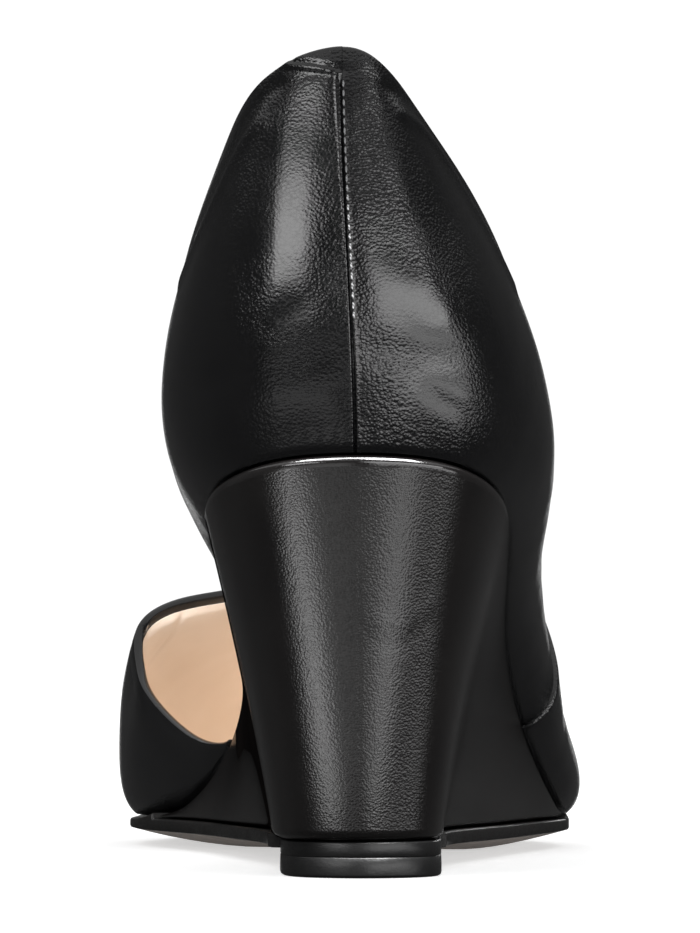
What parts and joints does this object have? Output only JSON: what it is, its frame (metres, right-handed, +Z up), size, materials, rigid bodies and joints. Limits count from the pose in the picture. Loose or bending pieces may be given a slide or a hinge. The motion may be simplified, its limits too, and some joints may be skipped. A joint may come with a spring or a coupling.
{
  "type": "wedge shoe",
  "caption": "Closed-toe wedge pump for the right foot, its inner side cut away at the arch, on a leather-covered wedge with a thin outsole and a top lift.",
  "frame": {"origin": "on the floor, under the middle of the shoe's bounding box", "axes": "+Y along the shoe to the toe, +X to the outer side of the foot, +Z up"},
  "size_m": [0.083, 0.2368, 0.1274],
  "materials": {
    "upper_leather": "fine grain, satin",
    "sock_leather": "smooth, matt",
    "wedge_leather": "fine grain, satin",
    "outsole_resin": "smooth, painted edge",
    "top_lift_rubber": "matt"
  },
  "bodies": {
    "root": {"upper": "upper_leather", "insole": "sock_leather", "wedge": "wedge_leather", "outsole": "outsole_resin", "top_lift": "top_lift_rubber"}
  },
  "joints": []
}
